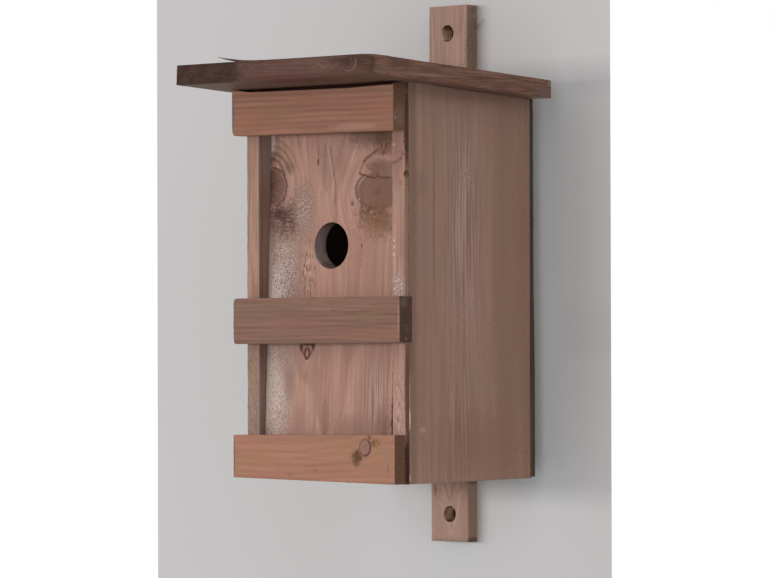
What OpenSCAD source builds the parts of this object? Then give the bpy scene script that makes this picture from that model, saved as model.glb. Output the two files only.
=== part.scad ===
/* [Box] */
// Width of the box over its two side boards
box_w = 151.5; // [130:0.5:180]
// Depth of the side boards, front edge to rear edge
box_d = 129.5; // [105:0.5:150]
// Height of the side boards at their front edges
box_h = 277.5; // [250:0.5:320]
// Distance of the box's middle to the right of the lath's middle
box_shift = 4.6; // [-8:0.1:8]
// Thickness of each side board
side_t = 12; // [10:0.5:16]
// Thickness of the strip on each side board's front edge
strip_t = 4; // [2:0.5:8]
// How much higher each side board's bottom is at its rear than at its front
side_bottom_rise = 1; // [0:0.1:2]
// How much higher the left side board's bottom is than the right one's
left_bottom_lift = 2; // [0:0.1:2]
// Thickness of the thin back panel
back_t = 3; // [2.5:0.5:6]
// Height of the back panel's lower edge above the bottom of the sides
back_lift = 2; // [0:0.5:6]

/* [Floor] */
// Thickness of the floor board
floor_t = 12; // [9:0.5:16]
// Height of the floor's underside above the bottom of the sides
floor_lift = 3; // [3:0.5:6]

/* [Front board] */
// Thickness of the front board
front_t = 12; // [10:0.5:16]
// Angle by which the front board leans back, in degrees
front_lean = 1.95; // [0:0.05:3]
// Setback of the front board's foot from the side boards' front edges
front_setback = 0.3; // [0:0.1:3]
// Gap between the front board's top edge and the roof
front_top_gap = 1; // [0.5:0.1:2]

/* [Entrance] */
// Diameter of the entrance hole
entrance_d = 32; // [26:0.5:45]
// Height of the entrance's centre above the bottom of the sides
entrance_h = 166.5; // [155:0.5:190]
// Distance of the entrance's centre to the left of the box's middle
entrance_offset = 3; // [-6:0.1:6]

/* [Battens] */
// Thickness of the top batten
top_batten_t = 12; // [9:0.5:16]
// Height of the top batten, top edge to bottom edge
top_batten_h = 32.4; // [24:0.1:36]
// Gap between the top batten and the side boards' front tops
top_batten_gap = 1.2; // [0.5:0.1:20]
// How much higher the top batten is at its right end than at its left
top_batten_taper = 0; // [0:0.1:3]
// How far the top batten's middle rises from left to right
top_batten_tilt = -1.2; // [-2:0.1:1]
// How far the top batten passes the left side board
top_batten_left = 3.1; // [0:0.1:8]
// How far the top batten passes the right side board
top_batten_right = 0.2; // [-3:0.1:8]
// Thickness of the middle batten
middle_batten_t = 13.3; // [9:0.1:16]
// Height of the middle batten, top edge to bottom edge
middle_batten_h = 32.2; // [24:0.1:38]
// Height of the middle batten's middle above the bottom of the sides
middle_batten_mid = 113.3; // [100:0.1:120]
// How much higher the middle batten is at its right end than at its left
middle_batten_taper = -0.3; // [-3:0.1:3]
// How far the middle batten's middle rises from left to right
middle_batten_tilt = 0.8; // [-2:0.1:2]
// How far the middle batten passes the left side board
middle_batten_left = 0.9; // [0:0.1:8]
// How far the middle batten passes the right side board
middle_batten_right = 6.6; // [0:0.1:8]
// Thickness of the bottom batten
bottom_batten_t = 11; // [9:0.5:16]
// Height of the bottom batten, top edge to bottom edge
bottom_batten_h = 32.2; // [24:0.1:36]
// Height of the bottom batten's lower edge above the bottom of the sides
bottom_batten_lift = 1.2; // [0:0.1:8]
// How much higher the bottom batten is at its right end than at its left
bottom_batten_taper = 4; // [0:0.1:5]
// How far the bottom batten passes the left side board
bottom_batten_left = 3.3; // [0:0.1:8]
// How far the bottom batten passes the right side board
bottom_batten_right = -0.3; // [-3:0.1:8]

/* [Roof] */
// Thickness of the roof board
roof_t = 13; // [10:0.5:20]
// Angle by which the roof falls toward its rear edge, in degrees
roof_slope = 3.1; // [0:0.1:5]
// How far the roof passes each side board
roof_side_overhang = 17; // [8:0.1:40]
// How far the roof passes the side boards' front edges
roof_front_overhang = 58; // [25:0.5:80]

/* [Hanging lath] */
// Width of the lath
lath_w = 35.5; // [30:0.5:45]
// Thickness of the lath
lath_t = 10.5; // [8:0.5:16]
// How far the lath rises above the side boards' front tops
lath_above = 63.8; // [58:0.1:90]
// How far the lath hangs below the bottom of the sides
lath_below = 46.7; // [40:0.1:60]
// Diameter of the hanging hole at each end of the lath
hang_hole_d = 11.4; // [6:0.1:14]
// Distance of each hanging hole's centre from the lath's end
hang_hole_inset = 20; // [15:0.5:28]

/* [Fixings] */
// Number of nails along each side of the roof
roof_nails = 3; // [2:1:4]
// Shank diameter of the roof nails
roof_nail_d = 2; // [1.6:0.1:2.8]
// Head diameter of the roof nails
roof_nail_head_d = 4.4; // [3.5:0.1:6]
// Length of the roof nails
roof_nail_l = 35; // [30:1:45]
// Number of brads from each side board into the floor
floor_brads = 3; // [2:1:4]
// Number of brads from each side board into the front board
front_brads = 3; // [2:1:4]
// Shank diameter of the brads
brad_d = 1.4; // [1:0.1:2]
// Head diameter of the brads
brad_head_d = 2; // [2:0.1:3]
// Length of the brads
brad_l = 28; // [25:1:35]
// Number of pins along each long edge of the back panel
back_pins = 4; // [3:1:6]
// Number of pins from the back panel into the floor, on each side of the lath
back_floor_pins = 1; // [1:1:2]
// Shank diameter of the pins
pin_d = 1.2; // [1:0.1:1.6]
// Head diameter of the pins
pin_head_d = 3; // [2.4:0.1:4]
// Length of the pins
pin_l = 16; // [12:1:20]
// Shank diameter of the lath's screws
screw_d = 3.5; // [3:0.1:4.5]
// Head diameter of the lath's screws
screw_head_d = 7; // [6:0.1:9]
// Length of the lath's screws
screw_l = 35; // [30:1:45]
// Distance between the two screws of each pair in the lath
screw_spacing = 18; // [14:0.5:22]

/* [Hidden] */

stained_pine = "#9b7868";
dark_stain = "#5a463c";
batten_stain = "#926a55";
lath_stain = "#947a6c";
steel = "#8a8a88";

// Running clearance around the shank and the head of every fixing
fixing_gap = 0.05;
// Thickness of a nail's, brad's or pin's flat head
head_t = 0.6;
// Depth of a screw's countersunk head
screw_head_t = 2;
// Overshoot that carries a cut past the face it opens
past = 1;
// Sides used for every round fixing, and for the larger round holes
fixing_fn = 24;
hole_fn = 64;

// Planes from front to back; the lath's back face is y = 0
back_y = -lath_t;
side_rear_y = back_y - back_t;
side_front_y = side_rear_y - box_d;
strip_front_y = side_front_y - strip_t;

// Heights; z = 0 is the middle of the lath's length
lath_l = lath_below + box_h + lath_above;
bottom_z = lath_below - lath_l / 2;
floor_z = bottom_z + floor_lift;
floor_top_z = floor_z + floor_t;

// Places from left to right; x = 0 is the middle of the lath's width
left_x = box_shift - box_w / 2;
right_x = box_shift + box_w / 2;
inner_w = box_w - 2 * side_t;

// The roof's underside, each side board's foot, and the front face of the leaning front board
function roof_z(y) = bottom_z + box_h - (y - side_front_y) * tan(roof_slope);
function foot_z(side) = bottom_z + (side < 0 ? left_bottom_lift : 0);
function front_y(z) = side_front_y + front_setback + (z - bottom_z) * tan(front_lean);
top_batten_mid = box_h - top_batten_gap - top_batten_h / 2;
bottom_batten_mid = bottom_batten_lift + bottom_batten_h / 2;
roof_front_y = side_front_y - roof_front_overhang;
roof_rise = roof_t / cos(roof_slope);
front_depth = front_t / cos(front_lean);
front_top_z = roof_z(front_y(bottom_z + box_h) + front_depth) - front_top_gap;

// Even places along a stretch, with the same margin at both ends
function spread(from, to, margin, count) =
    [for (i = [0 : count - 1]) from + margin + i * (to - from - 2 * margin) / (count - 1)];
roof_nail_margin = 22;
roof_nail_y = spread(side_front_y, side_rear_y, roof_nail_margin, roof_nails);
floor_brad_margin = 26;
floor_brad_y = spread(side_front_y, side_rear_y, floor_brad_margin, floor_brads);
front_brad_margin = 30;
front_brad_z = spread(floor_top_z, front_top_z, front_brad_margin, front_brads);
back_pin_margin = 25;
back_pin_z = spread(floor_top_z, roof_z(side_rear_y), back_pin_margin, back_pins);
floor_pin_pitch = 14;
floor_pin_reach = inner_w / 2 - 20;

// A board whose outline lies in the Y-Z plane, from x to x + w
module yz_board(x, w, outline) {
    translate([x, 0, 0])
        rotate([90, 0, 90])
            linear_extrude(w)
                polygon(outline);
}

// A board whose outline lies in the X-Z plane, from its rear face at y forward by t
module xz_board(y, t, outline) {
    translate([0, y, 0])
        rotate([90, 0, 0])
            linear_extrude(t)
                polygon(outline);
}

// A flat-headed nail along +Z with its head's top at z = 0, grown all round by gap
module nail(d, head_d, l, gap = 0) {
    translate([0, 0, -l - gap])
        cylinder(h = l + gap, d = d + 2 * gap, $fn = fixing_fn);
    translate([0, 0, -head_t - gap])
        cylinder(h = head_t + (gap > 0 ? past : 0), d = head_d + 2 * gap, $fn = fixing_fn);
}

// A countersunk screw along +Z with its head's top at z = 0, grown all round by gap
module screw(gap = 0) {
    translate([0, 0, -screw_l - gap])
        cylinder(h = screw_l + gap, d = screw_d + 2 * gap, $fn = fixing_fn);
    translate([0, 0, -screw_head_t - gap])
        cylinder(h = screw_head_t + gap, d1 = screw_d + 2 * gap, d2 = screw_head_d + 2 * gap,
                 $fn = fixing_fn);
    if (gap > 0)
        cylinder(h = past, d = screw_head_d + 2 * gap, $fn = fixing_fn);
}

// Nails square to the roof's top, down into the top edge of one side board
module roof_nail_row(side, gap = 0) {
    x = box_shift + side * (box_w - side_t) / 2;
    for (y = roof_nail_y)
        translate([x, y, roof_z(y)])
            rotate([-roof_slope, 0, 0])
                translate([0, 0, roof_t])
                    nail(roof_nail_d, roof_nail_head_d, roof_nail_l, gap);
}

// Brads through one side board, its outer face at side = -1 or 1, at the given places
module side_brad(side, y, z, gap) {
    translate([box_shift + side * box_w / 2, y, z])
        rotate([0, side * 90, 0])
            nail(brad_d, brad_head_d, brad_l, gap);
}

module floor_brad_row(side, gap = 0) {
    for (y = floor_brad_y)
        side_brad(side, y, floor_z + floor_t / 2, gap);
}

module front_brad_row(side, gap = 0) {
    for (z = front_brad_z)
        side_brad(side, front_y(z) + front_depth / 2, z, gap);
}

// Pins through the back panel into the rear edge of one side board
module back_pin_row(side, gap = 0) {
    x = box_shift + side * (box_w - side_t) / 2;
    for (z = back_pin_z)
        translate([x, back_y, z])
            rotate([-90, 0, 0])
                nail(pin_d, pin_head_d, pin_l, gap);
}

// Pins through the back panel into the rear edge of the floor, clear of the lath
module floor_pin_row(gap = 0) {
    for (side = [-1, 1], i = [0 : back_floor_pins - 1])
        translate([box_shift + side * (floor_pin_reach - i * floor_pin_pitch), back_y,
                   floor_z + floor_t / 2])
            rotate([-90, 0, 0])
                nail(pin_d, pin_head_d, pin_l, gap);
}

// A pair of screws through the lath at height z
module lath_screw_pair(z, gap = 0) {
    for (side = [-1, 1])
        translate([side * screw_spacing / 2, 0, z])
            rotate([-90, 0, 0])
                screw(gap);
}

upper_screw_z = roof_z(back_y) + roof_rise / 2;
lower_screw_z = floor_z + floor_t / 2;

// One of the two side boards, its top cut to the roof's fall
module side_board(side) {
    color(stained_pine)
        difference() {
            yz_board(side < 0 ? left_x : right_x - side_t, side_t, [
                [side_front_y, foot_z(side)],
                [side_rear_y, foot_z(side) + side_bottom_rise],
                [side_rear_y, roof_z(side_rear_y)],
                [side_front_y, roof_z(side_front_y)]
            ]);
            roof_nail_row(side, fixing_gap);
            floor_brad_row(side, fixing_gap);
            front_brad_row(side, fixing_gap);
            back_pin_row(side, fixing_gap);
        }
}

module left_side() side_board(-1);

module right_side() side_board(1);

// The strip that covers one side board's front edge
module face_strip(side) {
    color(stained_pine)
        yz_board(side < 0 ? left_x : right_x - side_t, side_t, [
            [strip_front_y, foot_z(side)],
            [side_front_y, foot_z(side)],
            [side_front_y, roof_z(side_front_y)],
            [strip_front_y, roof_z(strip_front_y)]
        ]);
}

module left_face_strip() face_strip(-1);

module right_face_strip() face_strip(1);

// The front board stands on the floor between the sides and leans back
module front_board() {
    color(stained_pine)
        difference() {
            yz_board(left_x + side_t, inner_w, [
                [front_y(floor_top_z), floor_top_z],
                [front_y(floor_top_z) + front_depth, floor_top_z],
                [front_y(front_top_z) + front_depth, front_top_z],
                [front_y(front_top_z), front_top_z]
            ]);
            translate([box_shift - entrance_offset, front_y(bottom_z + entrance_h),
                       bottom_z + entrance_h])
                rotate([-90 - front_lean, 0, 0])
                    translate([0, 0, -past])
                        cylinder(h = front_t + 2 * past, d = entrance_d, $fn = hole_fn);
            front_brad_row(-1, fixing_gap);
            front_brad_row(1, fixing_gap);
        }
}

// A hand-cut batten across the front: mid height, height, taper and tilt, and what
// it passes the side boards by at its left and right ends
module batten(t, mid, h, taper, tilt, left, right) {
    x0 = left_x - left;
    x1 = right_x + right;
    mid0 = bottom_z + mid - tilt / 2;
    mid1 = bottom_z + mid + tilt / 2;
    half0 = h / 2 - taper / 4;
    half1 = h / 2 + taper / 4;
    color(batten_stain)
        xz_board(strip_front_y, t, [
            [x0, mid0 - half0], [x1, mid1 - half1], [x1, mid1 + half1], [x0, mid0 + half0]
        ]);
}

module top_batten()
    batten(top_batten_t, top_batten_mid, top_batten_h, top_batten_taper, top_batten_tilt,
           top_batten_left, top_batten_right);

module middle_batten()
    batten(middle_batten_t, middle_batten_mid, middle_batten_h, middle_batten_taper,
           middle_batten_tilt, middle_batten_left, middle_batten_right);

module bottom_batten()
    batten(bottom_batten_t, bottom_batten_mid, bottom_batten_h, bottom_batten_taper, 0,
           bottom_batten_left, bottom_batten_right);

// The floor fits between the side boards, from their front edges to the back panel
module floor_board() {
    color(stained_pine)
        difference() {
            translate([left_x + side_t, side_front_y, floor_z])
                cube([inner_w, box_d, floor_t]);
            floor_brad_row(-1, fixing_gap);
            floor_brad_row(1, fixing_gap);
            floor_pin_row(fixing_gap);
            lath_screw_pair(lower_screw_z, fixing_gap);
        }
}

// The thin back panel closes the box behind, up to the roof's underside
module back_panel() {
    color(dark_stain)
        difference() {
            yz_board(left_x, box_w, [
                [side_rear_y, bottom_z + back_lift],
                [back_y, bottom_z + back_lift],
                [back_y, roof_z(back_y)],
                [side_rear_y, roof_z(side_rear_y)]
            ]);
            back_pin_row(-1, fixing_gap);
            back_pin_row(1, fixing_gap);
            floor_pin_row(fixing_gap);
            lath_screw_pair(lower_screw_z, fixing_gap);
        }
}

// The roof lies on the side boards; its front end is square and its rear end is plumb
module roof_board() {
    color(dark_stain)
        difference() {
            yz_board(left_x - roof_side_overhang, box_w + 2 * roof_side_overhang, [
                [roof_front_y, roof_z(roof_front_y)],
                [back_y, roof_z(back_y)],
                [back_y, roof_z(back_y) + roof_rise],
                [roof_front_y + roof_t * sin(roof_slope),
                 roof_z(roof_front_y) + roof_t * cos(roof_slope)]
            ]);
            roof_nail_row(-1, fixing_gap);
            roof_nail_row(1, fixing_gap);
            lath_screw_pair(upper_screw_z, fixing_gap);
        }
}

// The upright lath that the box hangs by, with a hole for a hook or bolt at each end
module hanging_lath() {
    color(lath_stain)
        difference() {
            translate([-lath_w / 2, -lath_t, -lath_l / 2])
                cube([lath_w, lath_t, lath_l]);
            for (end = [-1, 1])
                translate([0, past, end * (lath_l / 2 - hang_hole_inset)])
                    rotate([90, 0, 0])
                        cylinder(h = lath_t + 2 * past, d = hang_hole_d, $fn = hole_fn);
            lath_screw_pair(lower_screw_z, fixing_gap);
            lath_screw_pair(upper_screw_z, fixing_gap);
        }
}

module roof_nails_left() color(steel) roof_nail_row(-1);

module roof_nails_right() color(steel) roof_nail_row(1);

module floor_brads_left() color(steel) floor_brad_row(-1);

module floor_brads_right() color(steel) floor_brad_row(1);

module front_brads_left() color(steel) front_brad_row(-1);

module front_brads_right() color(steel) front_brad_row(1);

module back_pins_left() color(steel) back_pin_row(-1);

module back_pins_right() color(steel) back_pin_row(1);

module back_pins_floor() color(steel) floor_pin_row();

module lath_screws_top() color(steel) lath_screw_pair(upper_screw_z);

module lath_screws_bottom() color(steel) lath_screw_pair(lower_screw_z);

left_side();
right_side();
left_face_strip();
right_face_strip();
front_board();
top_batten();
middle_batten();
bottom_batten();
floor_board();
back_panel();
roof_board();
hanging_lath();
roof_nails_left();
roof_nails_right();
floor_brads_left();
floor_brads_right();
front_brads_left();
front_brads_right();
back_pins_left();
back_pins_right();
back_pins_floor();
lath_screws_top();
lath_screws_bottom();
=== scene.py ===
"""A small wooden nest box on a wall: worn boards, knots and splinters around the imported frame."""

import math
from collections import namedtuple
from itertools import product

import bpy
import numpy as np
from mathutils import Matrix, Vector


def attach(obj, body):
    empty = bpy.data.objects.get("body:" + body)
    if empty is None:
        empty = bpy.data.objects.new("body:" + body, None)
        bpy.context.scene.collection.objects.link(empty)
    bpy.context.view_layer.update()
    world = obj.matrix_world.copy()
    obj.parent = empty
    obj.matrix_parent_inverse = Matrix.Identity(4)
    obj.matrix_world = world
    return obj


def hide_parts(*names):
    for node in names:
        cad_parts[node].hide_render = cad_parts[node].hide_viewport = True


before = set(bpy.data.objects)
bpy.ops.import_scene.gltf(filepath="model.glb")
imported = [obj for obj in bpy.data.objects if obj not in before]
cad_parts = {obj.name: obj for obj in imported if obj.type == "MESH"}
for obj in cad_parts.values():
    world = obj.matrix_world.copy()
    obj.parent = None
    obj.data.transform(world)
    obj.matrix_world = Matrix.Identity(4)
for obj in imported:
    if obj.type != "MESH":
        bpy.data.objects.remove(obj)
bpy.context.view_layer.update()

MM = 0.001

# Camera: at the photograph's place, a long lens looking slightly up at the box
CAMERA_MM = (2025.4, -2305.5, -44.0)
CAMERA_YAW = math.radians(42.297)
CAMERA_PITCH = math.radians(0.617)
CAMERA_ROLL = math.radians(-0.152)
CAMERA_LENS = 197.6


def direction(azimuth, rise):
    """A unit vector that points to an azimuth, counted from the front, and a rise."""
    return Vector((math.sin(azimuth) * math.cos(rise), -math.cos(azimuth) * math.cos(rise),
                   math.sin(rise)))


def add_object(name, data):
    made = bpy.data.objects.new(name, data)
    bpy.context.scene.collection.objects.link(made)
    return made


def make_camera():
    ahead = -direction(CAMERA_YAW, -CAMERA_PITCH)
    level = Vector((math.cos(CAMERA_YAW), math.sin(CAMERA_YAW), 0))
    upright = level.cross(ahead)
    right = math.cos(CAMERA_ROLL) * level + math.sin(CAMERA_ROLL) * upright
    up = -math.sin(CAMERA_ROLL) * level + math.cos(CAMERA_ROLL) * upright
    data = bpy.data.cameras.new("camera")
    data.lens = CAMERA_LENS
    data.sensor_width = 36
    data.clip_start = 0.05
    data.clip_end = 60
    camera = add_object("camera", data)
    turn = Matrix((right, up, -ahead)).transposed().to_4x4()
    camera.matrix_world = Matrix.Translation(Vector(CAMERA_MM) * MM) @ turn
    bpy.context.scene.camera = camera


# Node shorthand
def linear(colour, share=1.0):
    """A share of an sRGB colour, written 0xRRGGBB, as Blender's linear RGBA."""
    c = share * np.array([colour >> 16, colour >> 8 & 255, colour & 255]) / 255
    c = np.where(c <= 0.04045, c / 12.92, ((c + 0.055) / 1.055) ** 2.4)
    return (*c, 1.0)


class Graph:
    """The node tree of a material or world, built by short calls that return sockets."""

    def __init__(self, owner):
        owner.use_nodes = True
        self.owner = owner
        self.tree = owner.node_tree
        self.tree.nodes.clear()
        self.coordinates = self.add("ShaderNodeTexCoord").outputs
        self.place = self.coordinates["Object"]
        self.textures = {}

    def feed(self, socket, value):
        if isinstance(value, bpy.types.NodeSocket):
            self.tree.links.new(value, socket)
        else:
            socket.default_value = value

    def add(self, kind, inputs=(), **settings):
        node = self.tree.nodes.new(kind)
        for key, value in settings.items():
            setattr(node, key, value)
        for key, value in dict(inputs).items():
            self.feed(node.inputs[key], value)
        return node

    def math(self, operation, *values, clamp=False):
        node = self.add("ShaderNodeMath", enumerate(values), operation=operation, use_clamp=clamp)
        return node.outputs[0]

    def times(self, a, b):
        return self.math("MULTIPLY", a, b)

    def vector(self, operation, *values):
        node = self.add("ShaderNodeVectorMath", enumerate(values), operation=operation)
        scalar = operation in ("LENGTH", "DOT_PRODUCT", "DISTANCE")
        return node.outputs["Value" if scalar else "Vector"]

    def scaled(self, vector, factor):
        node = self.add("ShaderNodeVectorMath", {0: vector, "Scale": factor}, operation="SCALE")
        return node.outputs["Vector"]

    def step(self, value, low, high, at_low=0.0, at_high=1.0):
        """A smooth step from at_low to at_high while value goes from low to high."""
        node = self.add(
            "ShaderNodeMapRange",
            enumerate((value, low, high, at_low, at_high)),
            interpolation_type="SMOOTHSTEP",
        )
        return node.outputs[0]

    def noise(self, vector, detail=2.0, roughness=0.5, colour=False):
        node = self.add(
            "ShaderNodeTexNoise",
            {"Vector": vector, "Scale": 1.0, "Detail": detail, "Roughness": roughness},
        )
        return node.outputs["Color" if colour else 0]

    def texture(self, scale, shift=0.0, detail=2.0, roughness=0.5, colour=False):
        """Noise fixed to the part, its scale per mm along x, y and z, made once for each use."""
        key = (scale, shift, detail, roughness, colour)
        if key not in self.textures:
            mapped = self.add("ShaderNodeMapping", {
                0: self.place,
                1: (shift * 1.31, shift * 0.57, shift * 2.11),
                3: tuple(s / MM for s in scale),
            })
            self.textures[key] = self.noise(mapped.outputs[0], detail, roughness, colour)
        return self.textures[key]

    def mix(self, factor, a, b, blend="MIX"):
        node = self.add(
            "ShaderNodeMix", {0: factor, 6: a, 7: b}, data_type="RGBA", blend_type=blend,
            clamp_factor=True,
        )
        return node.outputs[2]

    def shaded(self, colour, shade):
        """A colour times a grey value."""
        grey = self.add("ShaderNodeCombineColor", {0: shade, 1: shade, 2: shade})
        return self.mix(1.0, colour, grey.outputs[0], "MULTIPLY")

    def finish(self, shader, output="ShaderNodeOutputMaterial"):
        self.add(output, {"Surface": shader.outputs[0]})
        return self.owner


# Timber: growth rings, fibres, blotches, knots, cracks and stained patches, and patches of painted
# shade and painted light
Knot = namedtuple("Knot", "centre radii wood heart strength rings")
Patch = namedtuple("Patch", "centre radii colour strength pale texture ragged core split",
                   defaults=(None, None, 0.35, 0.4, (0.4, 0.6)))
Arc = namedtuple("Arc", "centre radii toward spread width colour strength")
Line = namedtuple("Line", "points width colour strength", defaults=(0.9,))
Face = namedtuple("Face", "toward colour strength")

GRAIN_AXES = {"x": (1, 0, 0), "z": (0, 0, 1)}
LINE_REACH = (1.0, 0.15, 1.0)
KNOT_PULL = 0.85
KNOT_RING_TURN = 17.0
SPOT_EDGE = 1.05
SPECKLE = (0.85, 0.3, 0.9)
# Sizes of the timber's noises in mm, across the grain and along it
DRIFT_MM = (55, 210)
BROAD_MM = (5.5, 120)
CLOUD_MM = (16, 60)
FIBRE_LENGTH = 26
STREAK_LENGTH = 75
GRIT_PER_MM = (1.1, 1.1, 1.1)
RAGGED_PER_MM = (0.45, 0.45, 0.45)
GRIT = 0.25
ROUGHNESS = 0.58
SPECULAR = 0.14
BUMP_MM = 0.55


def marks_on(axis, place, deep, kind=Patch):
    """Makes marks on a face across an axis: their two other places and reaches, then the look."""
    def mark(a, b, reach_a, reach_b, *look, **more):
        centre, radii = [a, b], [reach_a, reach_b]
        centre.insert(axis, place)
        radii.insert(axis, deep)
        return kind(tuple(centre), tuple(radii), *look, **more)
    return mark


def per_mm(grain, across, along):
    """Noise frequency per mm: short periods across the grain, long ones along it."""
    axis = GRAIN_AXES[grain]
    return tuple(1 / along if a else 1 / across for a in axis)


def reach(g, at, spot):
    """How far a point is from a spot's centre, 1 at the spot's outline."""
    away = g.vector("SUBTRACT", at, spot.centre)
    return g.vector("LENGTH", g.vector("DIVIDE", away, spot.radii))


def bend_round(g, at, knot):
    """Pushes the growth rings apart round a knot."""
    away = g.vector("SUBTRACT", at, knot.centre)
    spread = g.vector("LENGTH", g.vector("DIVIDE", away, tuple(3 * r for r in knot.radii)))
    pull = g.step(spread, 0.0, 1.0, KNOT_PULL, 0.0)
    return g.vector("SUBTRACT", at, g.scaled(away, pull))


def draw_patch(g, at, colour, patch, ragged):
    """A soft-edged patch of colour, plain or broken up by its own fine texture: most are stains, some
    are painted shade and painted light.
    """
    edge = g.math("MULTIPLY_ADD", ragged, 2 * patch.ragged, -patch.ragged)
    distance = g.math("ADD", reach(g, at, patch), edge)
    mask = g.step(distance, patch.core, SPOT_EDGE, patch.strength, 0.0)
    colour = g.mix(mask, colour, linear(patch.colour))
    if patch.texture:
        fine = g.texture(patch.texture, detail=2.5, roughness=0.7)
        flecks = g.times(g.step(fine, *patch.split), mask)
        colour = g.mix(flecks, colour, linear(patch.pale))
    return colour


def draw_knot(g, at, colour, knot, ragged):
    """A knot's body: darker wood with faint rings of its own and a small heart."""
    edge = g.math("MULTIPLY_ADD", ragged, 0.3, -0.15)
    distance = g.math("ADD", reach(g, at, knot), edge)
    rings = g.math("SINE", g.times(distance, KNOT_RING_TURN))
    heart = g.math("MAXIMUM", g.math("MULTIPLY_ADD", rings, knot.rings, knot.rings),
                   g.step(distance, 0.05, 0.3, 0.7, 0.0))
    body = g.step(distance, 0.8, SPOT_EDGE, knot.strength, 0.0)
    colour = g.mix(body, colour, linear(knot.wood))
    return g.mix(g.times(body, heart), colour, linear(knot.heart))


def draw_arc(g, at, colour, arc, ragged):
    """Part of an oval's outline, such as the dark bark round one side of a knot."""
    away = g.vector("DIVIDE", g.vector("SUBTRACT", at, arc.centre), arc.radii)
    distance = g.vector("LENGTH", away)
    mean_radius = (arc.radii[0] + arc.radii[2]) / 2
    off = g.math("ABSOLUTE", g.math("SUBTRACT", distance, 1.0))
    off = g.math("ADD", g.times(off, mean_radius),
                 g.math("MULTIPLY_ADD", ragged, 1.2 * arc.width, -0.6 * arc.width))
    facing = g.vector("DOT_PRODUCT", g.vector("NORMALIZE", away),
                      tuple(Vector(arc.toward).normalized()))
    limit = math.cos(math.radians(arc.spread))
    mask = g.times(g.step(off, 0.25 * arc.width, arc.width, arc.strength, 0.0),
                   g.step(facing, limit - 0.12, limit + 0.12))
    return g.mix(mask, colour, linear(arc.colour))


def draw_line(g, at, colour, line, ragged):
    """A dark or pale line through a few points, its width wandering. Depth (y) counts little."""
    flat = g.vector("MULTIPLY", at, LINE_REACH)
    points = [np.array(point, float) * LINE_REACH for point in line.points]
    nearest = None
    for start, end in zip(points, points[1:]):
        run = end - start
        away = g.vector("SUBTRACT", flat, tuple(start))
        share = g.math("DIVIDE", g.vector("DOT_PRODUCT", away, tuple(run)), float(run @ run),
                       clamp=True)
        distance = g.vector("DISTANCE", away, g.scaled(tuple(run), share))
        nearest = distance if nearest is None else g.math("MINIMUM", nearest, distance)
    wander = g.math("MULTIPLY_ADD", ragged, 1.6 * line.width, -0.8 * line.width)
    distance = g.math("ADD", nearest, wander)
    mask = g.step(distance, 0.25 * line.width, line.width, line.strength, 0.0)
    return g.mix(mask, colour, linear(line.colour))


DRAW = {Knot: draw_knot, Patch: draw_patch, Arc: draw_arc, Line: draw_line}


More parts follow.
